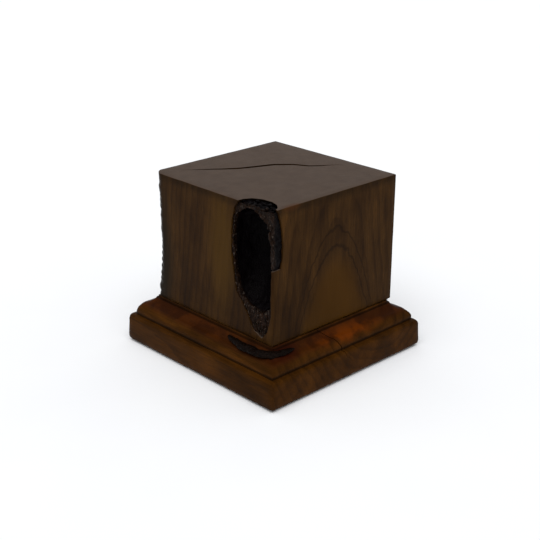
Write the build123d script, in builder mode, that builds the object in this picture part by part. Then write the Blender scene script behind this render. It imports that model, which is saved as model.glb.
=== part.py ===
from build123d import *

import os

os.makedirs("parts", exist_ok=True)

# Display plinth: a square hardwood block on a moulded hardwood base.
# Frame: origin at the middle of the underside, +Z up, the front corner
# with its bark hollow towards +X and -Y. Millimetres throughout.

# Block
block_x = 60.0
block_y = 59.0
block_h = 46.8
block_shift_x = 0.3
block_shift_y = 0.3
foot_ease = 0.8
foot_ease_h = 1.6
wane = 1.4

# Base board and its moulded edge, measured in from the edge and up from its underside
base_x = 77.2
base_y = 74.2
board_t = 17.4
base_ease = 0.5
corner_r = 0.8
plinth_h = 9.65
arris_r = 0.9
fillet_w = 2.1
riser_h = 1.25
ovolo_w = 1.95
ovolo_h = 3.1
ovolo_sag = 0.5
cove_w = 3.45
cove_h = 2.3
cove_sag = 0.3
lip_w = 0.7
lip_h = 0.35

# Bark hollow in the block's front corner
hollow_w = 17.5
hollow_h = 40.5
hollow_depth = 13.0
hollow_from_edge = 0.9
hollow_from_foot = 4.4
bark_t = 1.6
bark_plate_w = 4.2
bark_plate_h = 20.3
bark_crack = 0.25
hollow_mouth_share = 1.06
hollow_mid_share = 0.8
hollow_end_share = 0.5

# Corner worn off the top, from the block's front corner, and the drying shake across the
# top, from the block's middle
chip_depth = 1.1
chip_route = [(-16.0, 0.0), (-9.6, 4.8), (-1.6, 5.6), (0.0, 8.0)]
shake_w = 0.6
shake_depth = 12.0
shake_route = [(-24.1, -21.5), (-13.6, -7.8), (-8.7, 3.9), (2.4, 14.8), (9.6, 24.8)]

# Bark pocket in the base's moulding, round the foot of the same corner and measured from it
pocket_w = 3.4
pocket_depth = 4.6
pocket_bark_t = 1.2
pocket_fit = 0.05
pocket_route = [(-19.5, -1.0), (-10.0, -2.6), (0.6, -1.6), (1.6, 8.5)]

# Dowels, screws and baize
dowel_d = 6.0
dowel_len = 24.0
dowel_pitch = 30.0
dowel_fit = 0.1
dowel_end_gap = 1.0
flute_count = 12
flute_d = 0.7
screw_len = 35.0
screw_pitch = 30.0
screw_shank_d = 4.0
screw_core_d = 2.8
screw_head_d = 8.0
screw_head_h = 2.3
screw_sink = 1.2
screw_tip_h = 3.0
recess_w = 1.0
recess_len = 3.6
recess_depth = 1.6
screw_fit = 0.25
pilot_fit = 0.05
pilot_end_gap = 1.0
baize_t = 0.6
baize_inset = 2.5
baize_corner_r = 3.0

# Levels and faces that the pieces share
board_z = baize_t
board_top = board_z + board_t
block_top = board_top + block_h
front_y = block_shift_y - block_y / 2
right_x = block_shift_x + block_x / 2
dowel_places = [(-dowel_pitch / 2, 0), (dowel_pitch / 2, 0)]
dowel_hole_depth = dowel_len / 2 + dowel_end_gap
screw_places = [(0, -screw_pitch / 2), (0, screw_pitch / 2)]
screw_head_z = board_z + screw_sink
over = 2.0


def moulding_run(plane, width, length):
    """The board with its moulding run along two edges, not yet along the ends."""
    edge = width / 2
    ovolo_z = plinth_h + riser_h
    cove_z = ovolo_z + ovolo_h
    lip_z = cove_z + cove_h
    ovolo_x = fillet_w + ovolo_w
    cove_x = ovolo_x + cove_w
    lip_x = cove_x + lip_w
    with BuildPart() as run:
        with BuildSketch(plane):
            with BuildLine():
                Line((0, 0), (edge - base_ease, 0))
                Line((edge - base_ease, 0), (edge, base_ease))
                Line((edge, base_ease), (edge, plinth_h - arris_r))
                RadiusArc((edge, plinth_h - arris_r), (edge - arris_r, plinth_h), -arris_r)
                Line((edge - arris_r, plinth_h), (edge - fillet_w, plinth_h))
                Line((edge - fillet_w, plinth_h), (edge - fillet_w, ovolo_z))
                SagittaArc((edge - fillet_w, ovolo_z), (edge - ovolo_x, cove_z), -ovolo_sag)
                SagittaArc((edge - ovolo_x, cove_z), (edge - cove_x, lip_z), cove_sag)
                Line((edge - cove_x, lip_z), (edge - lip_x, lip_z + lip_h))
                Line((edge - lip_x, lip_z + lip_h), (edge - lip_x, board_t))
                Line((edge - lip_x, board_t), (0, board_t))
                mirror(about=Plane.YZ)
            make_face()
        extrude(amount=length)
    return run.part


def hollow_section(y, share, grow):
    """Outline of the bark hollow, a leaning teardrop, at one depth from the front."""
    half_w = hollow_w / 2
    half_h = hollow_h / 2
    mid_x = right_x - hollow_from_edge - half_w
    mid_z = board_top + hollow_from_foot + half_h
    teardrop = (
        (-1.0, 0.35), (-0.97, -0.1), (-0.6, -0.62), (0.45, -1.0),
        (0.93, -0.6), (1.0, 0.2), (0.8, 0.85), (0.1, 1.0), (-0.75, 0.85),
    )
    points = [
        (mid_x + across * (half_w + grow) * share, mid_z + up * (half_h + grow) * share)
        for across, up in teardrop
    ]
    with BuildSketch(Plane.XZ.offset(-y)) as section:
        with BuildLine():
            Spline(*points, periodic=True)
        make_face()
    return section.sketch


def hollow_body(grow):
    """The hollow as a solid, narrowing from its mouth in the front face."""
    sections = (
        (front_y - over, hollow_mouth_share),
        (front_y, 1.0),
        (front_y + (hollow_depth + grow) / 2, hollow_mid_share),
        (front_y + hollow_depth + grow, hollow_end_share),
    )
    with BuildPart() as body:
        loft(sections=[hollow_section(y, share, grow) for y, share in sections])
    return body.part


def block_envelope():
    """The squared block before anything has split or fallen out of it."""
    with BuildPart() as envelope:
        with BuildSketch(Plane.XY.offset(board_top)):
            with Locations((block_shift_x, block_shift_y)):
                Rectangle(block_x - 2 * foot_ease, block_y - 2 * foot_ease)
        with BuildSketch(Plane.XY.offset(board_top + foot_ease_h)):
            with Locations((block_shift_x, block_shift_y)):
                Rectangle(block_x, block_y)
        loft()
        with BuildSketch(Plane.XY.offset(board_top + foot_ease_h)):
            with Locations((block_shift_x, block_shift_y)):
                Rectangle(block_x, block_y)
        extrude(amount=block_h - foot_ease_h)
    return envelope.part


def bark_corner(grow):
    """The plate of bark that stands in for the block's front corner, near the top."""
    plate_w = bark_plate_w + grow
    plate_h = bark_plate_h + grow
    with BuildPart() as corner:
        with BuildSketch(Plane.XY.offset(block_top + over)):
            with Locations((right_x + over, front_y - over)):
                Rectangle(
                    hollow_w / 2 + over, plate_w + over, align=(Align.MAX, Align.MIN)
                )
        extrude(amount=-(plate_h + over))
    return corner.part


def worn_corner():
    """What is worn off the top of the front corner."""
    first_x = chip_route[0][0]
    last_y = chip_route[-1][1]
    with BuildPart() as worn:
        with BuildSketch(Plane.XY.offset(block_top - chip_depth)):
            with BuildLine():
                Polyline(
                    (right_x - over + first_x, front_y - over),
                    *[(right_x + x, front_y + y) for x, y in chip_route],
                    (right_x + over, front_y + last_y + over),
                    (right_x + over, front_y - over),
                    close=True,
                )
            make_face()
        extrude(amount=chip_depth + over)
    return worn.part


def dowel_hole(depth, up):
    """Blind holes for the dowels, drilled up into the block or down into the base."""
    with BuildPart() as holes:
        with BuildSketch(Plane.XY.offset(board_top)):
            with Locations(*dowel_places):
                Circle(dowel_d / 2 + dowel_fit)
        extrude(amount=depth if up else -depth)
    return holes.part


def shake_slot():
    """The drying shake that wanders across the top from the left to the back."""
    with BuildPart() as slot:
        with BuildSketch(Plane.XY.offset(block_top - shake_depth)):
            with BuildLine():
                Spline(*[(block_shift_x + x, block_shift_y + y) for x, y in shake_route])
            trace(line_width=shake_w)
        extrude(amount=shake_depth + over)
    return slot.part


def pocket_path(width):
    """The base's bark pocket in plan, wrapped round the foot of the front corner."""
    with BuildSketch(Plane.XY.offset(board_top - pocket_depth)) as plan:
        with BuildLine():
            Spline(*[(right_x + x, front_y + y) for x, y in pocket_route])
        trace(line_width=width)
    return plan.sketch


# Display block: end grain on top, its faces planed square, split by the shake
with BuildPart() as display_block:
    add(block_envelope())
    wane_edge = display_block.edges().filter_by(Axis.Z).group_by(Axis.X)[0].sort_by(Axis.Y)[0]
    chamfer(wane_edge, length=wane)
    add(hollow_body(bark_t), mode=Mode.SUBTRACT)
    add(bark_corner(bark_crack), mode=Mode.SUBTRACT)
    add(worn_corner(), mode=Mode.SUBTRACT)
    add(shake_slot(), mode=Mode.SUBTRACT)
    add(dowel_hole(dowel_hole_depth, up=True), mode=Mode.SUBTRACT)
    with BuildSketch(Plane.XY.offset(board_top)):
        with Locations(*screw_places):
            Circle(screw_core_d / 2 + pilot_fit)
    extrude(amount=screw_head_z + screw_len + pilot_end_gap - board_top, mode=Mode.SUBTRACT)
display_block.part.label = "display_block"
export_step(display_block.part, "parts/display_block.step")

# Bark lining: what is left of the grown-in bark, round the hollow and up the corner
with BuildPart() as bark_lining:
    add(hollow_body(bark_t))
    add(bark_corner(0))
    add(block_envelope(), mode=Mode.INTERSECT)
    add(hollow_body(0), mode=Mode.SUBTRACT)
    add(worn_corner(), mode=Mode.SUBTRACT)
bark_lining.part.label = "bark_lining"
export_step(bark_lining.part, "parts/bark_lining.step")

# Moulded base: the moulding run along both directions, so that it mitres at the corners
with BuildPart() as moulded_base:
    front_plane = Plane((0, base_y / 2, board_z), x_dir=(1, 0, 0), z_dir=(0, -1, 0))
    side_plane = Plane((-base_x / 2, 0, board_z), x_dir=(0, 1, 0), z_dir=(1, 0, 0))
    add(moulding_run(front_plane, base_x, base_y))
    add(moulding_run(side_plane, base_y, base_x), mode=Mode.INTERSECT)
    upright = moulded_base.edges().filter_by(Axis.Z).filter_by(
        lambda edge: edge.center().Z < board_z + plinth_h
        and abs(edge.center().X) > base_x / 2 - fillet_w / 2
    )
    fillet(upright, radius=corner_r)
    add(pocket_path(pocket_w))
    extrude(amount=pocket_depth + over, mode=Mode.SUBTRACT)
    add(dowel_hole(dowel_hole_depth, up=False), mode=Mode.SUBTRACT)
    with Locations(*[(x, y, screw_head_z) for x, y in screw_places]):
        Cylinder(
            screw_shank_d / 2 + screw_fit,
            board_t,
            align=(Align.CENTER, Align.CENTER, Align.MIN),
            mode=Mode.SUBTRACT,
        )
        Cone(
            screw_head_d / 2 + screw_fit,
            screw_shank_d / 2 + screw_fit,
            screw_head_h,
            align=(Align.CENTER, Align.CENTER, Align.MIN),
            mode=Mode.SUBTRACT,
        )
        Cylinder(
            screw_head_d / 2 + screw_fit,
            screw_sink,
            align=(Align.CENTER, Align.CENTER, Align.MAX),
            mode=Mode.SUBTRACT,
        )
moulded_base.part.label = "moulded_base"
export_step(moulded_base.part, "parts/moulded_base.step")

# Base bark: the bark that still lines the bottom of the base's pocket
with BuildPart() as base_bark:
    add(pocket_path(pocket_w - 2 * pocket_fit))
    extrude(amount=pocket_bark_t)
base_bark.part.label = "base_bark"
export_step(base_bark.part, "parts/base_bark.step")

# Joint dowels: fluted, half in the block and half in the base
with BuildPart() as joint_dowels:
    with BuildSketch(Plane.XY.offset(board_top - dowel_len / 2)):
        with Locations(*dowel_places):
            Circle(dowel_d / 2)
            with PolarLocations(dowel_d / 2, flute_count):
                Circle(flute_d / 2, mode=Mode.SUBTRACT)
    extrude(amount=dowel_len)
joint_dowels.part.label = "joint_dowels"
export_step(joint_dowels.part, "parts/joint_dowels.step")

# Fixing screws: countersunk wood screws up through the base into the block
with BuildPart() as one_screw:
    with BuildSketch(Plane.XZ):
        with BuildLine():
            Polyline(
                (0, 0),
                (screw_head_d / 2, 0),
                (screw_shank_d / 2, screw_head_h),
                (screw_shank_d / 2, board_top - screw_head_z),
                (screw_core_d / 2, board_top - screw_head_z),
                (screw_core_d / 2, screw_len - screw_tip_h),
                (0, screw_len),
                close=True,
            )
        make_face()
    revolve(axis=Axis.Z)
    with BuildSketch(Plane.XY):
        Rectangle(recess_len, recess_w)
        Rectangle(recess_w, recess_len)
    extrude(amount=recess_depth, mode=Mode.SUBTRACT)
with BuildPart() as fixing_screws:
    with Locations(*[(x, y, screw_head_z) for x, y in screw_places]):
        add(one_screw.part)
fixing_screws.part.label = "fixing_screws"
export_step(fixing_screws.part, "parts/fixing_screws.step")

# Baize pad: glued over the screw heads, a little in from the edge
with BuildPart() as baize_pad:
    with BuildSketch():
        RectangleRounded(base_x - 2 * baize_inset, base_y - 2 * baize_inset, baize_corner_r)
    extrude(amount=baize_t)
baize_pad.part.label = "baize_pad"
export_step(baize_pad.part, "parts/baize_pad.step")
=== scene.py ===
import random
from math import atan2, cos, hypot, pi, radians, sin

import bmesh
import bpy
from mathutils import Matrix, Vector, noise


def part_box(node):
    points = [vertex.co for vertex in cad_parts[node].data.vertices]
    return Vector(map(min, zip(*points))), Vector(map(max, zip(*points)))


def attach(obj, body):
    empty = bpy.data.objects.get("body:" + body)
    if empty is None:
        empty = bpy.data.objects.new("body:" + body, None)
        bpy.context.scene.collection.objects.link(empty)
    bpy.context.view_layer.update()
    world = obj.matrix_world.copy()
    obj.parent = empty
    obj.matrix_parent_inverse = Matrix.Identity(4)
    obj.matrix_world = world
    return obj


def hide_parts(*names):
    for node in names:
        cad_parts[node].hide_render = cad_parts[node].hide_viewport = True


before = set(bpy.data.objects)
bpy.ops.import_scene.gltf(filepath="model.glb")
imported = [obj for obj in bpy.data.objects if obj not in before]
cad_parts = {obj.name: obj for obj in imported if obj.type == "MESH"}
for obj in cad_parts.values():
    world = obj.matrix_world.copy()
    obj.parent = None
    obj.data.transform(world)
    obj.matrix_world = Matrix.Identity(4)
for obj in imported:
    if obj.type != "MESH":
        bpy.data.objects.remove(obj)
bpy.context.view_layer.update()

# A display plinth: a stained hardwood block with a bark hollow in its front corner,
# on a moulded base of the same wood. Metres; small sizes are written in MM.
MM = 0.001
SEED = 11
# Unseeded, the noise that wobbles the meshes would differ from one run to the next
noise.seed_set(SEED)

block_lo, block_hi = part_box("display_block")
base_lo, base_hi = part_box("moulded_base")
baize_lo, baize_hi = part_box("baize_pad")
dowel_lo, dowel_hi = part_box("joint_dowels")
screw_lo, screw_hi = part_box("fixing_screws")

# The corners and levels that every piece is placed from
corner_x = block_hi.x
corner_y = block_lo.y
foot_z = block_lo.z
top_z = block_hi.z
base_mid = (base_lo + base_hi) / 2

# Dowels and screws stand in pairs; the holes round them are a little larger
dowel_r = (dowel_hi.y - dowel_lo.y) / 2
head_r = (screw_hi.x - screw_lo.x) / 2
DOWELS = [(dowel_lo.x + dowel_r, dowel_lo.y + dowel_r), (dowel_hi.x - dowel_r, dowel_lo.y + dowel_r)]
SCREWS = [(0.0, screw_lo.y + head_r), (0.0, screw_hi.y - head_r)]
DOWEL_HOLE_R = dowel_r + 0.12 * MM
PILOT_R = 1.45 * MM
CLEARANCE_R = 2.25 * MM
SINK_R = 4.25 * MM
SINK_H = 2.3 * MM

# Hollow outlines on the front face, as (height over the foot, distance in from the corner)
SOCKET_LEFT = [(1.9, 4.9), (3.2, 8.4), (4.7, 9.9), (7.1, 11.2), (10.1, 13.1), (12.6, 15.5),
               (15.2, 17.3), (20.3, 18.4), (24.6, 19.2), (30.5, 19.7), (39.2, 19.3), (43.3, 18.1),
               (46.9, 16.0), (53, 9)]
SOCKET_RIGHT = [(1.9, 4.9), (4.8, 2.3), (10.7, 0.75), (20, 0.7), (27, 0.6), (33, 0.5), (46.9, 0.5), (53, 9)]
SOCKET_DEPTH = [(1.9, 0.6), (6, 2.4), (12, 6), (20, 11.5), (30, 14.5), (40, 12), (46.9, 6.5), (53, 3)]
VOID_LEFT = [(10.2, 7.5), (12.0, 12.2), (14.0, 14.9), (17.0, 16.6), (22.0, 17.8), (30.5, 18.7), (38.0, 18.3),
             (42.0, 17.2), (45.2, 12.4)]
VOID_RIGHT = [(10.2, 6.0), (11.5, 3.6), (13.0, 2.0), (16, 1.15), (24, 1.0), (29, 1.2), (33, 1.4), (38, 1.8),
              (42, 3.0), (45.2, 9.0)]
VOID_DEPTH = [(10.2, 1.0), (13, 4.5), (20, 9.8), (30, 12.8), (38, 11), (43, 7), (45.2, 3)]
# Where sound wood starts behind the plate of bark, as (height over the foot, distance back)
PLATE_BACK = [(25.8, 3.4), (27.5, 4.0), (30.5, 4.7), (35, 4.7), (40.5, 4.2), (44, 3.3),
              (47.5, 1.8), (50, 1.5)]
# How deep the wane bites into the left corner, as (height over the foot, depth)
WANE = [(-1, 0.35), (3, 0.55), (6, 0.8), (11, 1.3), (20, 1.7), (26, 1.6), (33, 1.5), (48, 1.2)]
# Shake and cracks, from the block's front corner
SHAKE = [(-54.1, 8.0), (-49.6, 14.3), (-45.4, 19.5), (-42.1, 24.2), (-39.8, 29.8), (-37.3, 36.1),
         (-32.7, 41.3), (-27.7, 44.0), (-25.7, 46.4), (-23.7, 49.4), (-20.5, 54.3)]
# Arched figure on the right face: the height of each line's apex, and its fall in mm per mm squared aside
ARCH_APEXES = (48.5, 55.5)
ARCH_DROP = 0.09
ARCH_WAVER = 6 * MM
RING_WANDER = 5 * MM
# Patches on the block, as (colour, amount, centre, reach): golden heart, pale sapwood, grey edge
BLOCK_PATCHES = [("#3a2305", 0.65, (31, 2, 26), (9, 15, 20)),
                 ("#46300f", 0.75, (6, -30, 46), (9, 8, 28)),
                 ("#1b160f", 0.95, (-28, -29, 34), (11, 9, 40))]
# Heights of the painted shade in the base's quirk and in the groove at the block's foot, as soft edges
SHADED_CREASES = [((10.4, 10.7), (11.7, 11.2)), ((16.9, 17.2), (17.8, 17.4))]
BARK_TONES = [(0.3, "#060302"), (0.5, "#170d07"), (0.66, "#2c1c12"), (0.8, "#43321f")]
# Bark pocket in the base, from the same corner
POCKET = [(-20.5, -1.2), (-15.5, -2.6), (-9.5, -3.5), (-3.5, -3.3), (0.9, -1.2), (2.3, 3.5), (2.2, 8.0)]
# Drying check down the right of the base: along the side and height, at each break of the moulding
CHECK = [(-0.4, 20.8, 17.9), (2.4, 23.4, 15.9), (4.4, 25.0, 14.5), (5.8, 26.7, 11.8), (7.3, 27.1, 10.2),
         (8.3, 27.2, 9.3), (8.3, 31.5, 4.9)]


def along(route, at):
    """The value that a route of (place, value) points has at a place."""
    for (a, low), (b, high) in zip(route, route[1:]):
        if at <= b:
            share = min(max((at - a) / (b - a), 0.0), 1.0)
            return low + (high - low) * share
    return route[-1][1]


def shares_of(route):
    """How far along a route each of its points lies, from 0 to 1."""
    spans = [(Vector(b) - Vector(a)).length for a, b in zip(route, route[1:])]
    return [sum(spans[:i]) / sum(spans) for i in range(len(route))]


def point_on(route, shares, at):
    """The point at one share of the way along a route, from 0 to 1."""
    at = min(max(at, 0.0), 1.0)
    return Vector([along(list(zip(shares, level)), at) for level in zip(*route)])


def wobble(point, size_mm, seed=0.0):
    """A smooth random vector of about unit length that changes over size_mm."""
    return noise.noise_vector(point / (size_mm * MM) + Vector((seed, seed * 1.7, -seed)))


def srgb(code, alpha=1.0):
    """An sRGB hex colour as linear RGBA."""
    levels = [int(code[i:i + 2], 16) / 255 for i in (1, 3, 5)]
    return tuple(c / 12.92 if c <= 0.04045 else ((c + 0.055) / 1.055) ** 2.4 for c in levels) + (alpha,)


# ---------------------------------------------------------------- materials


def add_node(tree, kind, *inputs, named=None, stops=(), **settings):
    """Adds a node with its settings, its inputs and, on a colour ramp, its (place, sRGB hex) stops.

    Inputs go in the order in which the node shows them, or by name. Each is a value to set, a
    socket to link, or a node whose first output is linked.
    """
    made = tree.nodes.new(kind)
    for name, value in settings.items():
        setattr(made, name, value)
    while len(stops) > 2 and len(made.color_ramp.elements) < len(stops):
        made.color_ramp.elements.new(0.5)
    for i, (place_on_ramp, code) in enumerate(stops):
        made.color_ramp.elements[i].position = place_on_ramp
        made.color_ramp.elements[i].color = srgb(code)
    wanted = list(zip([socket for socket in made.inputs if socket.enabled], inputs))
    wanted += [(made.inputs[name], value) for name, value in (named or {}).items()]
    for socket, value in wanted:
        if isinstance(value, bpy.types.Node):
            value = next(output for output in value.outputs if output.enabled)
        if isinstance(value, bpy.types.NodeSocket):
            tree.links.new(value, socket)
        else:
            socket.default_value = value
    return made


def new_material(name):
    """An empty material, with its tree and the coordinates that its patterns read."""
    material = bpy.data.materials.new(name)
    material.use_nodes = True
    tree = material.node_tree
    tree.nodes.clear()
    return material, tree, add_node(tree, "ShaderNodeTexCoord").outputs["Object"]


def surface(tree, inputs):
    """Closes a material with its shader, given what goes into the shader's sockets."""
    shader = add_node(tree, "ShaderNodeBsdfPrincipled", named=inputs)
    add_node(tree, "ShaderNodeOutputMaterial", shader)


def weighted(tree, start, *parts):
    """A start value plus each (factor, weight) part."""
    total = start
    for factor, weight in parts:
        total = add_node(tree, "ShaderNodeMath", factor, weight, total, operation="MULTIPLY_ADD")
    return total


def within(tree, value, *edges):
    """1 inside soft edges and 0 past them; each edge is (where it is 0, where it is 1)."""
    steps = [add_node(tree, "ShaderNodeMapRange", value, zero, one, interpolation_type="SMOOTHSTEP")
             for zero, one in edges]
    share = steps[0]
    for step in steps[1:]:
        share = add_node(tree, "ShaderNodeMath", share, step, operation="MULTIPLY")
    return share


def tint(tree, colour, over, amount, *masks):
    """Lays a colour, as sRGB hex or a node, over another by an amount, only where all masks are."""
    for mask in masks:
        amount = add_node(tree, "ShaderNodeMath", mask, amount, operation="MULTIPLY")
    over = srgb(over) if isinstance(over, str) else over
    return add_node(tree, "ShaderNodeMix", amount, colour, over, data_type="RGBA")


def pattern(tree, coords, size_mm, detail=3.0, rough=0.55):
    """Noise whose grain is size_mm across along X, Y and Z."""
    scale = [1 / (size * MM) for size in size_mm]
    placed = add_node(tree, "ShaderNodeMapping", named={"Vector": coords, "Scale": scale})
    return add_node(tree, "ShaderNodeTexNoise",
                    named={"Vector": placed, "Scale": 1.0, "Detail": detail, "Roughness": rough})


def place(tree, coords, centre, reach):
    """1 at a place on the wood, fading to 0 at its reach, in mm along X, Y and Z."""
    moved = add_node(tree, "ShaderNodeVectorMath", coords, [c * MM for c in centre], operation="SUBTRACT")
    scaled = add_node(tree, "ShaderNodeVectorMath", moved, [r * MM for r in reach], operation="DIVIDE")
    length = add_node(tree, "ShaderNodeVectorMath", scaled, operation="LENGTH")
    return within(tree, length, (1.0, 0.25))


def rings(tree, coords, pith, turn, taper, ring_mm):
    """Rings counted out from the pith, and the grain's own coordinates, whose Z runs along it."""
    grain = add_node(tree, "ShaderNodeMapping", named={"Vector": coords, "Rotation": turn})
    bend = pattern(tree, grain, (14, 14, 34), 2.0)
    height = add_node(tree, "ShaderNodeSeparateXYZ", grain).outputs["Z"]
    centre = (pith[0] * MM, pith[1] * MM, 0)
    moved = add_node(tree, "ShaderNodeVectorMath", grain, centre, operation="SUBTRACT")
    flat = add_node(tree, "ShaderNodeVectorMath", moved, (1, 1, 0), operation="MULTIPLY")
    out = add_node(tree, "ShaderNodeVectorMath", flat, operation="LENGTH")
    out = weighted(tree, -RING_WANDER / 2, (out, 1.0), (height, taper), (bend, RING_WANDER))
    return add_node(tree, "ShaderNodeMath", out, ring_mm * MM, operation="DIVIDE"), grain


def wood(name, pith, turn, taper, ring_mm, tones, pore_tone, marks):
    """Stained hardwood, planed, sanded and rubbed down: rings, long fibres and fine dark pores."""
    material, tree, coords = new_material(name)
    count, grain = rings(tree, coords, pith, turn, taper, ring_mm)
    # One ring: pale early wood, darkening slowly to a narrow late line
    part = add_node(tree, "ShaderNodeMath", count, operation="FRACT")
    late = within(tree, part, (0.35, 0.93), (1.0, 0.94))
    # Rings differ in strength, so the wood is streaked and not combed
    strength = pattern(tree, grain, (5, 5, 60), 2.0)
    streaks = add_node(tree, "ShaderNodeMath", late, strength, operation="MULTIPLY")
    fibres = pattern(tree, grain, (0.45, 0.45, 9), 4.0, 0.65)
    clouds = pattern(tree, grain, (9, 9, 22), 3.0)
    pores = pattern(tree, grain, (0.16, 0.16, 2.4), 2.0, 0.5)
    tone = weighted(tree, 0.0, (clouds, 0.75), (fibres, 0.38), (streaks, -0.17))
    colour = add_node(tree, "ShaderNodeValToRGB", tone, stops=tones)
    colour = tint(tree, colour, pore_tone, 0.5, within(tree, pores, (0.62, 0.72)))
    relief = weighted(tree, 0.0, (fibres, 0.5), (pores, -0.35), (late, 0.15))
    surface(tree, {
        "Base Color": marks(tree, coords, colour),
        "Normal": add_node(tree, "ShaderNodeBump",
                           named={"Height": relief, "Strength": 0.35, "Distance": 0.1 * MM}),
        "Roughness": weighted(tree, 0.2, (clouds, 0.16), (fibres, 0.14)),
        "IOR": 1.5,
        "Specular IOR Level": 0.02,
    })
    return material


def block_marks(tree, coords, colour):
    """Tints on the block: patches, an arched figure, dark borders, end grain greyed with painted sheen, a
    worn edge.
    """
    facing = add_node(tree, "ShaderNodeNewGeometry").outputs["Normal"]
    normal = add_node(tree, "ShaderNodeSeparateXYZ", facing)
    spot = add_node(tree, "ShaderNodeSeparateXYZ", coords)
    aside, height = spot.outputs["Y"], spot.outputs["Z"]
    mottle = pattern(tree, coords, (4, 4, 4), 3.0)
    for code, amount, centre, reach in BLOCK_PATCHES:
        colour = tint(tree, colour, code, amount, place(tree, coords, centre, reach))
    # The right face is cut where the rings arch over: late lines, and golden wood under them
    squared = add_node(tree, "ShaderNodeMath", aside, aside, operation="MULTIPLY")
    arch = weighted(tree, 0.0, (squared, ARCH_DROP / MM), (height, 1.0), (mottle, ARCH_WAVER))
    right = within(tree, normal.outputs["X"], (0.6, 0.9))
    colour = tint(tree, colour, "#4a2e05", 0.4, within(tree, arch, (48 * MM, 38 * MM)), right)
    for apex in ARCH_APEXES:
        line = within(tree, arch, ((apex - 1.1) * MM, (apex - 0.1) * MM),
                      ((apex + 0.9) * MM, (apex + 0.1) * MM))
        colour = tint(tree, colour, "#170c05", 0.55, line, right)
    border = within(tree, height, (top_z - 3.6 * MM, top_z - 0.6 * MM))
    colour = tint(tree, colour, "#171009", 1.0, border, mottle)
    # Upward faces: the end grain's own tone with a painted sheen, the grey reflection of the bright room
    # laid into the colour
    end_grain_and_painted_sheen = tint(tree, srgb("#43372f"), "#54463c", 1.0, mottle)
    colour = tint(tree, colour, end_grain_and_painted_sheen, 1.0, within(tree, normal.outputs["Z"], (0.6, 0.9)))
    return tint(tree, colour, "#4a2a14", 0.45, place(tree, coords, (30.3, -20.5, 64.6), (2.4, 5.5, 2.2)))


def base_marks(tree, coords, colour):
    """Tints on the base: the cove is rubbed red and orange, and painted shade darkens its quirk and the
    groove at the block's foot.
    """
    height = add_node(tree, "ShaderNodeSeparateXYZ", coords).outputs["Z"]
    patches = pattern(tree, coords, (7, 7, 5), 3.0)
    rubbed = tint(tree, srgb("#2b1004"), "#3f1c06", 1.0, within(tree, patches, (0.42, 0.6)))
    cove = within(tree, height, (13.2 * MM, 15.2 * MM), (18.2 * MM, 16.8 * MM))
    colour = tint(tree, colour, rubbed, 0.75, cove)
    glow = place(tree, coords, (36, 2, 15.5), (7, 22, 4.5))
    colour = tint(tree, colour, "#5e2a04", 1.0, glow, within(tree, patches, (0.3, 0.6)))
    colour = tint(tree, colour, "#2a0904", 0.7, place(tree, coords, (33, -26, 16.5), (8, 9, 4)))
    # Painted shade, darkening the quirk and the groove where the block stands on the base
    for edges in SHADED_CREASES:
        line = within(tree, height, *[(zero * MM, one * MM) for zero, one in edges])
        colour = tint(tree, colour, "#0d0602", 0.65, line)
    return colour


def bark_material():
    """Dead bark soaked in varnish: dark brown ridges, painted glints as pale flecks at the rim, and painted
    shade that turns it black deep inside.
    """
    material, tree, coords = new_material("varnished_bark")
    spot = add_node(tree, "ShaderNodeSeparateXYZ", coords)
    depth, height = spot.outputs["Y"], spot.outputs["Z"]
    ridges = pattern(tree, coords, (0.7, 0.7, 2.4), 5.0, 0.7)
    crumbs = pattern(tree, coords, (0.35, 0.35, 0.5), 3.0)
    glint_spots = pattern(tree, coords, (0.5, 0.5, 1.1), 2.0)
    colour = add_node(tree, "ShaderNodeValToRGB", ridges, stops=BARK_TONES)
    # The bark in the base's pocket lies below the block's foot and is darker, with no painted glints
    below = within(tree, height, (foot_z + 0.6 * MM, foot_z - 0.6 * MM))
    above = within(tree, height, (foot_z - 0.6 * MM, foot_z + 0.6 * MM))
    colour = tint(tree, colour, "#080403", 0.75, below)
    # Painted glints: pale flecks that stand in for highlights on the wet varnish round the rim
    colour = tint(tree, colour, "#6b6056", 0.55, within(tree, glint_spots, (0.62, 0.7)), above)
    # Painted shade: bark more than about 2 mm back in the hollow, and clear of the foot, is turned almost
    # black
    painted_hollow_shade = within(tree, depth, (corner_y + 0.6 * MM, corner_y + 2.2 * MM))
    off_foot = within(tree, height, (foot_z + 1 * MM, foot_z + 4 * MM))
    relief = weighted(tree, 0.0, (ridges, 1.0), (crumbs, 0.5))
    surface(tree, {
        "Base Color": tint(tree, colour, "#030102", 0.97, painted_hollow_shade, off_foot),
        "Normal": add_node(tree, "ShaderNodeBump",
                           named={"Height": relief, "Strength": 0.9, "Distance": 0.35 * MM}),
        "Roughness": weighted(tree, 0.05, (crumbs, 0.35)),
        "IOR": 1.5,
        "Specular IOR Level": 0.03,
    })
    return material


def simple_material(name, tones, size_mm, rough, metallic=0.0, bump_mm=0.03):
    """A plain made surface with the mottle and relief of its kind."""
    material, tree, coords = new_material(name)
    grain = pattern(tree, coords, size_mm, 4.0, 0.6)
    surface(tree, {
        "Base Color": add_node(tree, "ShaderNodeValToRGB", grain, stops=tones),
        "Normal": add_node(tree, "ShaderNodeBump",
                           named={"Height": grain, "Strength": 0.5, "Distance": bump_mm * MM}),
        "Roughness": weighted(tree, rough - 0.1, (grain, 0.2)),
        "Metallic": metallic,
    })
    return material


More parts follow.
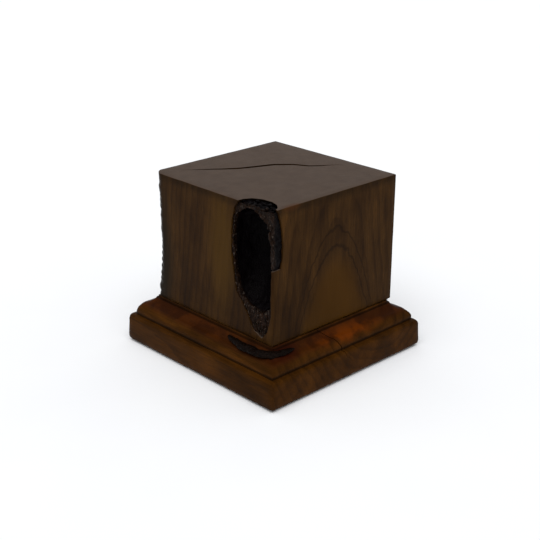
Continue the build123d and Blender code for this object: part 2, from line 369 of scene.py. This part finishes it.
block_wood = wood("stained_walnut_block", (55.3, 0.3), (0, 0, 0), 0.12, 2.6,
                  [(0.28, "#1f1208"), (0.5, "#2f1d0b"), (0.66, "#3c2710"), (0.85, "#523515")],
                  "#0b0603", block_marks)
base_wood = wood("stained_walnut_base", (24, 16), (0, radians(90), 0), 0.05, 3.4,
                 [(0.28, "#201104"), (0.5, "#331c05"), (0.66, "#432608"), (0.85, "#5a340c")],
                 "#0c0602", base_marks)
bark = bark_material()
dowel_wood = simple_material("turned_beech", [(0.3, "#b08a5c"), (0.7, "#c9a878")], (0.4, 0.4, 6), 0.6)
screw_zinc = simple_material("zinc_plated_steel", [(0.3, "#9c9a90"), (0.7, "#c4c1b4")],
                             (0.8, 0.8, 0.8), 0.35, 1.0)
baize_felt = simple_material("pressed_black_baize", [(0.3, "#0d0d0d"), (0.7, "#262626")], (0.25, 0.25, 0.25),
                             0.95, bump_mm=0.15)


# ---------------------------------------------------------------- making pieces


def piece_from(name, bm, material):
    """A closed piece with its faces outwards and its place in its mesh."""
    if bm.calc_volume(signed=True) < 0:
        bmesh.ops.reverse_faces(bm, faces=bm.faces)
    mesh = bpy.data.meshes.new(name)
    bm.to_mesh(mesh)
    bm.free()
    piece = bpy.data.objects.new(name, mesh)
    bpy.context.scene.collection.objects.link(piece)
    mesh.materials.append(material)
    return piece


def shade(piece, angle=32):
    mesh = piece.data
    mesh.polygons.foreach_set("use_smooth", [True] * len(mesh.polygons))
    mesh.set_sharp_from_angle(angle=radians(angle))
    mesh.update()


def carve(piece, *steps):
    """Cuts or joins solids in turn: each step is (operation, solid); the solids are used up."""
    for operation, tool in steps:
        modifier = piece.modifiers.new("carve", "BOOLEAN")
        modifier.operation = operation
        modifier.solver = "MANIFOLD"
        modifier.object = tool
    graph = bpy.context.evaluated_depsgraph_get()
    mesh = bpy.data.meshes.new_from_object(piece.evaluated_get(graph))
    piece.modifiers.clear()
    old = piece.data
    piece.data = mesh
    bpy.data.meshes.remove(old)
    for _, tool in steps:
        bpy.data.objects.remove(tool)
    while len(mesh.materials) > 1:
        mesh.materials.pop()
    mesh.polygons.foreach_set("material_index", [0] * len(mesh.polygons))


def slices(bm, axis, low, high, count):
    """Cuts the mesh across, so that its edges can wander."""
    normal = Vector([float(i == axis) for i in range(3)])
    for i in range(1, count):
        at = normal * (low + (high - low) * i / count)
        geometry = bm.verts[:] + bm.edges[:] + bm.faces[:]
        bmesh.ops.bisect_plane(bm, geom=geometry, plane_co=at, plane_no=normal)


def box_mesh(lo, hi):
    bm = bmesh.new()
    bmesh.ops.create_cube(bm, size=1.0)
    size = hi - lo
    bmesh.ops.scale(bm, vec=size, verts=bm.verts)
    bmesh.ops.translate(bm, vec=(lo + hi) / 2, verts=bm.verts)
    return bm


def from_corner(across, back, up):
    """A point in mm from the block's front corner at its foot: in from it, back, and up."""
    return Vector((corner_x - across * MM, corner_y + back * MM, foot_z + up * MM))


def hollow_mesh(name, left, right, depth, rough_mm, seed):
    """A leaning teardrop that opens on the front face, shaped from a sphere."""
    bm = bmesh.new()
    bmesh.ops.create_uvsphere(bm, u_segments=112, v_segments=90, radius=1.0)
    low, high = left[0][0], left[-1][0]
    for vert in bm.verts:
        turn = atan2(vert.co.y, vert.co.x)
        up = low + (high - low) * (vert.co.z + 1) / 2
        far, near = along(left, up), along(right, up)
        at_pole = hypot(vert.co.x, vert.co.y) < 1e-4
        half = 0.0 if at_pole else (far - near) / 2
        back = along(depth, up) * sin(turn) ** 0.8 if sin(turn) > 0 else 4 * sin(turn)
        vert.co = from_corner((far + near) / 2 - half * cos(turn), 0 if at_pole else back, up)
        vert.co += wobble(vert.co, 2.6, seed) * rough_mm * MM
        vert.co += wobble(vert.co, 0.9, seed + 5) * rough_mm * 0.45 * MM
    return piece_from(name, bm, bark)


def plate_mesh(name, inset, rough_mm, seed):
    """The plate of bark at the corner's top, or the room that it takes."""
    bm = box_mesh(from_corner(9.0 - inset, -3.0, 26.6 + inset), from_corner(-3.0, 1.0, 52.0))
    slices(bm, 2, foot_z + 26.6 * MM, foot_z + 52 * MM, 44)
    slices(bm, 0, corner_x - 9 * MM, corner_x + 3 * MM, 14)
    for vert in bm.verts:
        if vert.co.y > corner_y:
            up = (vert.co.z - foot_z) / MM
            vert.co.y = corner_y + (along(PLATE_BACK, up) - inset) * MM
        vert.co += wobble(vert.co, 2.2, seed) * rough_mm * MM
    return piece_from(name, bm, bark)


def ribbon_solid(name, route, width_mm, depth_mm, seed, cuts=70):
    """A wedge along a route on a flat face, wide in the middle and closed at its ends."""
    bm = bmesh.new()
    bmesh.ops.create_grid(bm, x_segments=cuts, y_segments=1, size=1.0)
    made = bmesh.ops.extrude_face_region(bm, geom=bm.faces[:])
    below = [v for v in made["geom"] if isinstance(v, bmesh.types.BMVert)]
    for vert in below:
        vert.co.z = -1.0
    shares = shares_of(route)
    for vert in bm.verts:
        at = (vert.co.x + 1) / 2
        here = point_on(route, shares, at)
        after = point_on(route, shares, at + 0.02)
        before = point_on(route, shares, at - 0.02)
        side = (after - before).normalized().cross(Vector((0, 0, 1)))
        swell = max(sin(pi * at), 0.02) ** 0.8
        half = width_mm / 2 * MM * swell * (1.0 if vert.co.z > -0.5 else 0.15)
        drop = 0.5 * MM if vert.co.z > -0.5 else -depth_mm * MM * swell
        edge = half * vert.co.y + wobble(here + side * vert.co.y, 1.1, seed).x * 0.09 * MM * swell
        vert.co = here + side * edge + Vector((0, 0, drop))
    bmesh.ops.recalc_face_normals(bm, faces=bm.faces)
    return piece_from(name, bm, bark)


def wane_solid():
    """What the waney edge lacks at the block's left corner: a rippled, rounded loss."""
    bm = bmesh.new()
    bmesh.ops.create_grid(bm, x_segments=18, y_segments=110, size=1.0)
    made = bmesh.ops.extrude_face_region(bm, geom=bm.faces[:])
    outer = {v for v in made["geom"] if isinstance(v, bmesh.types.BMVert)}
    left_x = block_lo.x
    for vert in bm.verts:
        up = -1 + 50 * (vert.co.y + 1) / 2
        at = (vert.co.x + 1) / 2
        bite = along(WANE, up) * MM
        ripple = wobble(Vector((0, at * 2 * MM, up * MM)), 1.7, 3).x * 0.45 * MM
        ripple += wobble(Vector((at * 3 * MM, 0, up * MM)), 0.8, 8).x * 0.22 * MM
        start = Vector((left_x + 5.4 * MM, corner_y - 0.35 * MM, 0))
        end = Vector((left_x - 0.35 * MM, corner_y + 8 * MM, 0))
        bow = Vector((-1, -1, 0)).normalized() * (4.6 * MM - bite * 1.35 - ripple)
        here = start.lerp(end, at) + bow * sin(pi * at) * 0.86
        here.z = foot_z + up * MM
        if vert in outer:
            here += Vector((-1, -1, 0)) * 7 * MM
        vert.co = here
    bmesh.ops.recalc_face_normals(bm, faces=bm.faces)
    return piece_from("wane", bm, bark)


def lump(bm, centre, size, seed):
    """One crumb of bark, worked from a small ball."""
    made = bmesh.ops.create_icosphere(bm, subdivisions=2, radius=1.0)
    for vert in made["verts"]:
        vert.co = Vector([c * s for c, s in zip(vert.co, size)]) * MM
        vert.co += centre + wobble(vert.co, 0.7, seed) * 0.3 * min(size) * MM


def bored(*drills):
    """Cuts for carve: each drill is (places, low, high, radius) and, to taper, its top radius."""
    cuts = []
    for places, low, high, radius, *top in drills:
        for x, y in places:
            bm = bmesh.new()
            bmesh.ops.create_cone(bm, cap_ends=True, segments=32, radius1=radius,
                                  radius2=top[0] if top else radius, depth=high - low)
            bmesh.ops.translate(bm, vec=(x, y, (low + high) / 2), verts=bm.verts)
            cuts.append(("DIFFERENCE", piece_from("hole", bm, bark)))
    return cuts


def display_block():
    """The block: squared, arrises eased by hand, with its hollow, shake, wane and worn corner."""
    bm = box_mesh(block_lo, block_hi)
    foot = [e for e in bm.edges if all(v.co.z < foot_z + MM for v in e.verts)]
    bmesh.ops.bevel(bm, geom=foot, offset=1.0 * MM, offset_type="OFFSET", segments=3, profile=0.5,
                    affect="EDGES", material=-1)
    top = [e for e in bm.edges if all(v.co.z > top_z - 0.1 * MM for v in e.verts)]
    upright = [e for e in bm.edges if abs(e.verts[0].co.z - e.verts[1].co.z) > 20 * MM]
    bmesh.ops.bevel(bm, geom=top + upright, offset=0.35 * MM, offset_type="OFFSET", segments=3, profile=0.5,
                    affect="EDGES", material=-1)
    slices(bm, 0, block_lo.x, block_hi.x, 24)
    slices(bm, 1, block_lo.y, block_hi.y, 24)
    slices(bm, 2, block_lo.z, block_hi.z, 18)
    middle = (block_lo + block_hi) / 2
    for vert in bm.verts:
        inward = Vector((middle.x - vert.co.x, middle.y - vert.co.y, 0)).normalized()
        vert.co += inward * (0.12 * MM * abs(wobble(vert.co, 9, 2).x))
        if vert.co.z > top_z - 0.2 * MM:
            vert.co.z -= 0.08 * MM * abs(wobble(vert.co, 7, 4).y)
    piece = piece_from("block_wood", bm, block_wood)
    shake = [Vector((corner_x + x * MM, corner_y + y * MM, top_z)) for x, y in SHAKE]
    carve(piece,
          ("DIFFERENCE", hollow_mesh("socket", SOCKET_LEFT, SOCKET_RIGHT, SOCKET_DEPTH, 0.28, 1)),
          ("DIFFERENCE", plate_mesh("plate_room", 0.0, 0.18, 2)),
          ("DIFFERENCE", wane_solid()),
          ("DIFFERENCE", ribbon_solid("shake", shake, 1.8, 12, 6)),
          *bored((DOWELS, foot_z - MM, dowel_hi.z + MM, DOWEL_HOLE_R),
                 (SCREWS, foot_z - MM, screw_hi.z + MM, PILOT_R)))
    shade(piece)
    return piece


def bark_lining():
    """What is left of the bark: rough walls, a crumbling plate up the corner and loose crumbs."""
    lining = hollow_mesh("bark", SOCKET_LEFT, SOCKET_RIGHT, SOCKET_DEPTH, 0.28, 1)
    envelope = box_mesh(block_lo + Vector((1, 0.25, 1)) * MM, block_hi - Vector((0.15, 1, 0.5)) * MM)
    slices(envelope, 0, corner_x - 26 * MM, corner_x, 44)
    slices(envelope, 2, foot_z, top_z, 70)
    slices(envelope, 1, corner_y, corner_y + 12 * MM, 18)
    for vert in envelope.verts:
        sunk = 0.5 + wobble(vert.co, 1.6, 9).x + 0.5 * wobble(vert.co, 0.7, 12).y
        inward = Vector((-0.55 * (vert.co.x > corner_x - MM), 0.75 * (vert.co.y < corner_y + MM),
                         -1.5 * (vert.co.z > top_z - MM)))
        vert.co += inward * max(sunk, 0) * 0.8 * MM
    carve(lining,
          ("UNION", plate_mesh("plate", 0.28, 0.2, 2)),
          ("INTERSECT", piece_from("envelope", envelope, bark)),
          ("DIFFERENCE", hollow_mesh("void", VOID_LEFT, VOID_RIGHT, VOID_DEPTH, 0.42, 4)))
    shade(lining, 50)
    return lining


def bark_crumbs():
    """Crumbs and curls of bark stuck in the varnish round the top of the corner."""
    draw = random.Random(SEED)
    bm = bmesh.new()
    for i in range(46):
        across = draw.uniform(1.5, 16.5)
        back = draw.uniform(0.8, 5.0)
        up = 46.8 - draw.uniform(0.6, 1.5)
        size = (draw.uniform(0.4, 1.3), draw.uniform(0.3, 0.8), draw.uniform(0.25, 0.6))
        lump(bm, from_corner(across, back, up), size, i)
    for i in range(26):
        across = draw.uniform(3.0, 9.5)
        up = draw.uniform(3.6, 10.5)
        size = (draw.uniform(0.4, 1.1), draw.uniform(0.3, 0.5), draw.uniform(0.7, 1.8))
        lump(bm, from_corner(across, 0.45, up), size, i + 60)
    for i in range(16):
        up = draw.uniform(35, 44)
        across = along(VOID_RIGHT, up) + draw.uniform(-0.1, 0.5)
        size = (draw.uniform(0.5, 0.9), draw.uniform(0.3, 0.6), draw.uniform(0.9, 2.2))
        lump(bm, from_corner(across, draw.uniform(0.7, 2.2), up), size, i + 100)
    piece = piece_from("bark_crumbs", bm, bark)
    shade(piece, 60)
    return piece


# ---------------------------------------------------------------- base

# The moulding, from the bottom edge up to the block's foot, as (in from the edge, height)
MOULDING = [(0.75, 0.0), (0.3, 0.35), (0.1, 0.95), (0.0, 1.9), (0.0, 4.4), (0.05, 7.0),
            (0.12, 8.3), (0.35, 9.1), (0.75, 9.55), (1.3, 9.7), (2.0, 9.72), (2.12, 9.85),
            (2.1, 10.9), (2.25, 11.6), (2.6, 12.4), (3.1, 13.15), (3.5, 13.6), (3.9, 13.95),
            (4.3, 14.1), (5.0, 14.35), (5.7, 14.7), (6.4, 15.15), (6.95, 15.6), (7.3, 16.0),
            (7.5, 16.4), (7.7, 16.6), (8.1, 16.7), (8.3, 16.95), (8.5, 17.35), (8.75, 17.4)]


def moulded_base():
    """The base board: its moulding drawn up ring by ring, then worn along its arrises."""
    bm = bmesh.new()
    bmesh.ops.create_grid(bm, x_segments=1, y_segments=1, size=0.5)
    size = base_hi - base_lo
    ring = bm.verts[:]
    face = bm.faces[:]
    for inset, height in MOULDING:
        if height > 0:
            made = bmesh.ops.extrude_face_region(bm, geom=face)
            if height > MOULDING[1][1]:
                bmesh.ops.delete(bm, geom=face, context="FACES_ONLY")
            ring = [v for v in made["geom"] if isinstance(v, bmesh.types.BMVert)]
            face = [f for f in made["geom"] if isinstance(f, bmesh.types.BMFace)]
        for vert in ring:
            vert.co.x = base_mid.x + (1 if vert.co.x > base_mid.x else -1) * (size.x / 2 - inset * MM)
            vert.co.y = base_mid.y + (1 if vert.co.y > base_mid.y else -1) * (size.y / 2 - inset * MM)
            vert.co.z = base_lo.z + height * MM
    slices(bm, 0, base_lo.x, base_hi.x, 64)
    slices(bm, 1, base_lo.y, base_hi.y, 62)
    for vert in bm.verts:
        wear_vertex(vert, size)
    bmesh.ops.recalc_face_normals(bm, faces=bm.faces)
    piece = piece_from("base_wood", bm, base_wood)
    carve(piece,
          ("DIFFERENCE", pocket_solid("pocket", 3.5, 3.4, 0.3, 5)),
          ("DIFFERENCE", check_solid()),
          *bored((DOWELS, dowel_lo.z - MM, foot_z + MM, DOWEL_HOLE_R),
                 (SCREWS, base_lo.z - MM, foot_z + MM, CLEARANCE_R),
                 (SCREWS, screw_lo.z, screw_lo.z + SINK_H, SINK_R, CLEARANCE_R),
                 (SCREWS, base_lo.z - MM, screw_lo.z + 0.02 * MM, SINK_R)))
    shade(piece, 24)
    return piece


def wear_vertex(vert, size):
    """Rounds the corners in plan, softens the arrises and lets the moulding waver a little."""
    out_x = (abs(vert.co.x - base_mid.x) - size.x / 2) / MM
    out_y = (abs(vert.co.y - base_mid.y) - size.y / 2) / MM
    height = (vert.co.z - base_lo.z) / MM
    if height > 17.3:
        return
    sign = Vector((1 if vert.co.x > base_mid.x else -1, 1 if vert.co.y > base_mid.y else -1, 0))
    reach = max(out_x, out_y)
    to_corner = max(0.0, 1 - (abs(out_x - out_y)) / 3.0) if min(out_x, out_y) > -16 else 0.0
    worn = to_corner ** 3 * (0.30 + 0.35 * noise.noise(vert.co / (5 * MM)))
    if sign.x * sign.y > 0:
        worn *= 1.3
    if sign.x < 0 and sign.y < 0:
        worn += to_corner ** 3 * 0.45 * max(noise.noise(vert.co / (1.5 * MM)), 0)
    if sign.x > 0 and sign.y < 0:
        worn *= 0.45
    vert.co -= sign * worn * MM
    edge_wave = 0.10 * noise.noise(vert.co / (6 * MM)) + 0.05 * noise.noise(vert.co / (1.8 * MM))
    if reach > -8.2:
        if out_x > out_y:
            vert.co.x -= sign.x * max(edge_wave, -0.02 if reach > -0.3 else -0.2) * MM
        else:
            vert.co.y -= sign.y * max(edge_wave, -0.02 if reach > -0.3 else -0.2) * MM
        if 9.0 < height < 17:
            vert.co.z -= 0.09 * noise.noise(vert.co / (4 * MM) + Vector((3, 3, 3))) * MM
    vert.co.x = min(max(vert.co.x, base_lo.x), base_hi.x)
    vert.co.y = min(max(vert.co.y, base_lo.y), base_hi.y)


def pocket_solid(name, width_mm, depth_mm, rough_mm, seed):
    """A ragged trough along the pocket's route, shaped from a ball drawn out to a banana."""
    bm = bmesh.new()
    bmesh.ops.create_uvsphere(bm, u_segments=28, v_segments=110, radius=1.0)
    shares = shares_of(POCKET)
    for vert in bm.verts:
        at = (vert.co.z + 1) / 2
        here = point_on(POCKET, shares, at)
        ahead = point_on(POCKET, shares, at + 0.06)
        behind = point_on(POCKET, shares, at - 0.06)
        side = (ahead - behind).normalized().orthogonal() * -1
        swell = (4 * at * (1 - at)) ** 0.1
        across = vert.co.x * width_mm / 2 * swell
        drop = vert.co.y * depth_mm * swell
        slope = -0.28 * across
        vert.co = Vector((corner_x + (here.x + side.x * across) * MM,
                          corner_y + (here.y + side.y * across) * MM,
                          foot_z + (-0.9 + slope + drop * 0.6) * MM))
        vert.co += wobble(vert.co, 1.9, seed) * rough_mm * MM
        vert.co += wobble(vert.co, 0.7, seed + 3) * rough_mm * 0.5 * MM
    bmesh.ops.recalc_face_normals(bm, faces=bm.faces)
    return piece_from(name, bm, bark)


def check_solid():
    """The drying check down the base's right side: a thin blade that follows the moulding."""
    bm = bmesh.new()
    bmesh.ops.create_grid(bm, x_segments=60, y_segments=1, size=1.0)
    made = bmesh.ops.extrude_face_region(bm, geom=bm.faces[:])
    deep = {v for v in made["geom"] if isinstance(v, bmesh.types.BMVert)}
    shares = [i / (len(CHECK) - 1) for i in range(len(CHECK))]
    for vert in bm.verts:
        at = (vert.co.x + 1) / 2
        out, back, height = point_on(CHECK, shares, at)
        half = 0.2 * max(sin(pi * (0.15 + 0.85 * at)), 0.04)
        reach = Vector((1, 0, 0.6)) * (1.0 if vert not in deep else -1.2) * MM
        here = Vector((corner_x + out * MM, corner_y + back * MM, height * MM)) + reach
        here.y += vert.co.y * half * MM + wobble(Vector((0, 0, height * MM)), 1.2, 7).x * 0.12 * MM
        vert.co = here
    bmesh.ops.recalc_face_normals(bm, faces=bm.faces)
    return piece_from("check", bm, bark)


def base_bark():
    """The bark left along the bottom of the base's pocket, lumpy under pooled varnish."""
    piece = pocket_solid("pocket_bark", 3.1, 1.7, 0.35, 9)
    for vert in piece.data.vertices:
        vert.co.z -= 0.9 * MM
    shade(piece, 60)
    return piece


def baize_pad():
    """Baize cut to the underside and glued down over the screw heads."""
    bm = box_mesh(baize_lo, baize_hi)
    upright = [e for e in bm.edges if abs(e.verts[0].co.z - e.verts[1].co.z) > 0.1 * MM]
    bmesh.ops.bevel(bm, geom=upright, offset=3 * MM, offset_type="OFFSET", segments=6, profile=0.5,
                    affect="EDGES", material=-1)
    piece = piece_from("baize", bm, baize_felt)
    shade(piece)
    return piece


# ---------------------------------------------------------------- assembly

block = display_block()
lining = bark_lining()
crumbs = bark_crumbs()
base = moulded_base()
pocket_bark = base_bark()
baize = baize_pad()

for piece, node, slot in ((block, "display_block", "block_wood"), (lining, "bark_lining", "bark"),
                          (base, "moulded_base", "base_wood"), (pocket_bark, "base_bark", "bark"),
                          (baize, "baize_pad", "baize")):
    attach(piece, "root")
    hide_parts(node)
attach(crumbs, "root")

for name, material in (("joint_dowels", dowel_wood), ("fixing_screws", screw_zinc)):
    for slot in bpy.data.objects[name].material_slots:
        slot.material = material


# ---------------------------------------------------------------- floor, light and camera


def floor():
    """A plain pale floor."""
    bm = bmesh.new()
    bmesh.ops.create_grid(bm, x_segments=1, y_segments=1, size=6.0)
    material, tree, coords = new_material("pale_paper")
    mottle = pattern(tree, coords, (60, 60, 60), 2.0)
    surface(tree, {
        "Base Color": add_node(tree, "ShaderNodeValToRGB", mottle,
                               stops=[(0.3, "#f9fafc"), (0.7, "#fbfcfd")]),
        "Roughness": 1.0,
        "Specular IOR Level": 0.0,
    })
    ground = piece_from("floor", bm, material)


floor()

world = bpy.data.worlds.new("studio")
bpy.context.scene.world = world
world.use_nodes = True
world.node_tree.nodes["Background"].inputs["Color"].default_value = srgb("#fcfdff")
world.node_tree.nodes["Background"].inputs["Strength"].default_value = 0.5

sun = bpy.data.lights.new("softbox", "SUN")
sun.energy = 1.95
sun.angle = radians(60)
sun_object = bpy.data.objects.new("softbox", sun)
sun_object.rotation_euler = (radians(18), radians(14), 0)
bpy.context.scene.collection.objects.link(sun_object)

camera = bpy.data.cameras.new("camera")
camera.lens = 71.46
camera.sensor_width = 36
camera.clip_start = 0.01
camera_object = bpy.data.objects.new("camera", camera)
camera_object.matrix_world = (Matrix.Translation((0.25666, -0.24649, 0.17180))
                              @ Matrix.Rotation(radians(46.31), 4, "Z")
                              @ Matrix.Rotation(radians(90 - 21.93), 4, "X")
                              @ Matrix.Rotation(radians(0.18), 4, "Z"))
bpy.context.scene.collection.objects.link(camera_object)
bpy.context.scene.camera = camera_object
bpy.context.scene.view_settings.view_transform = "Standard"
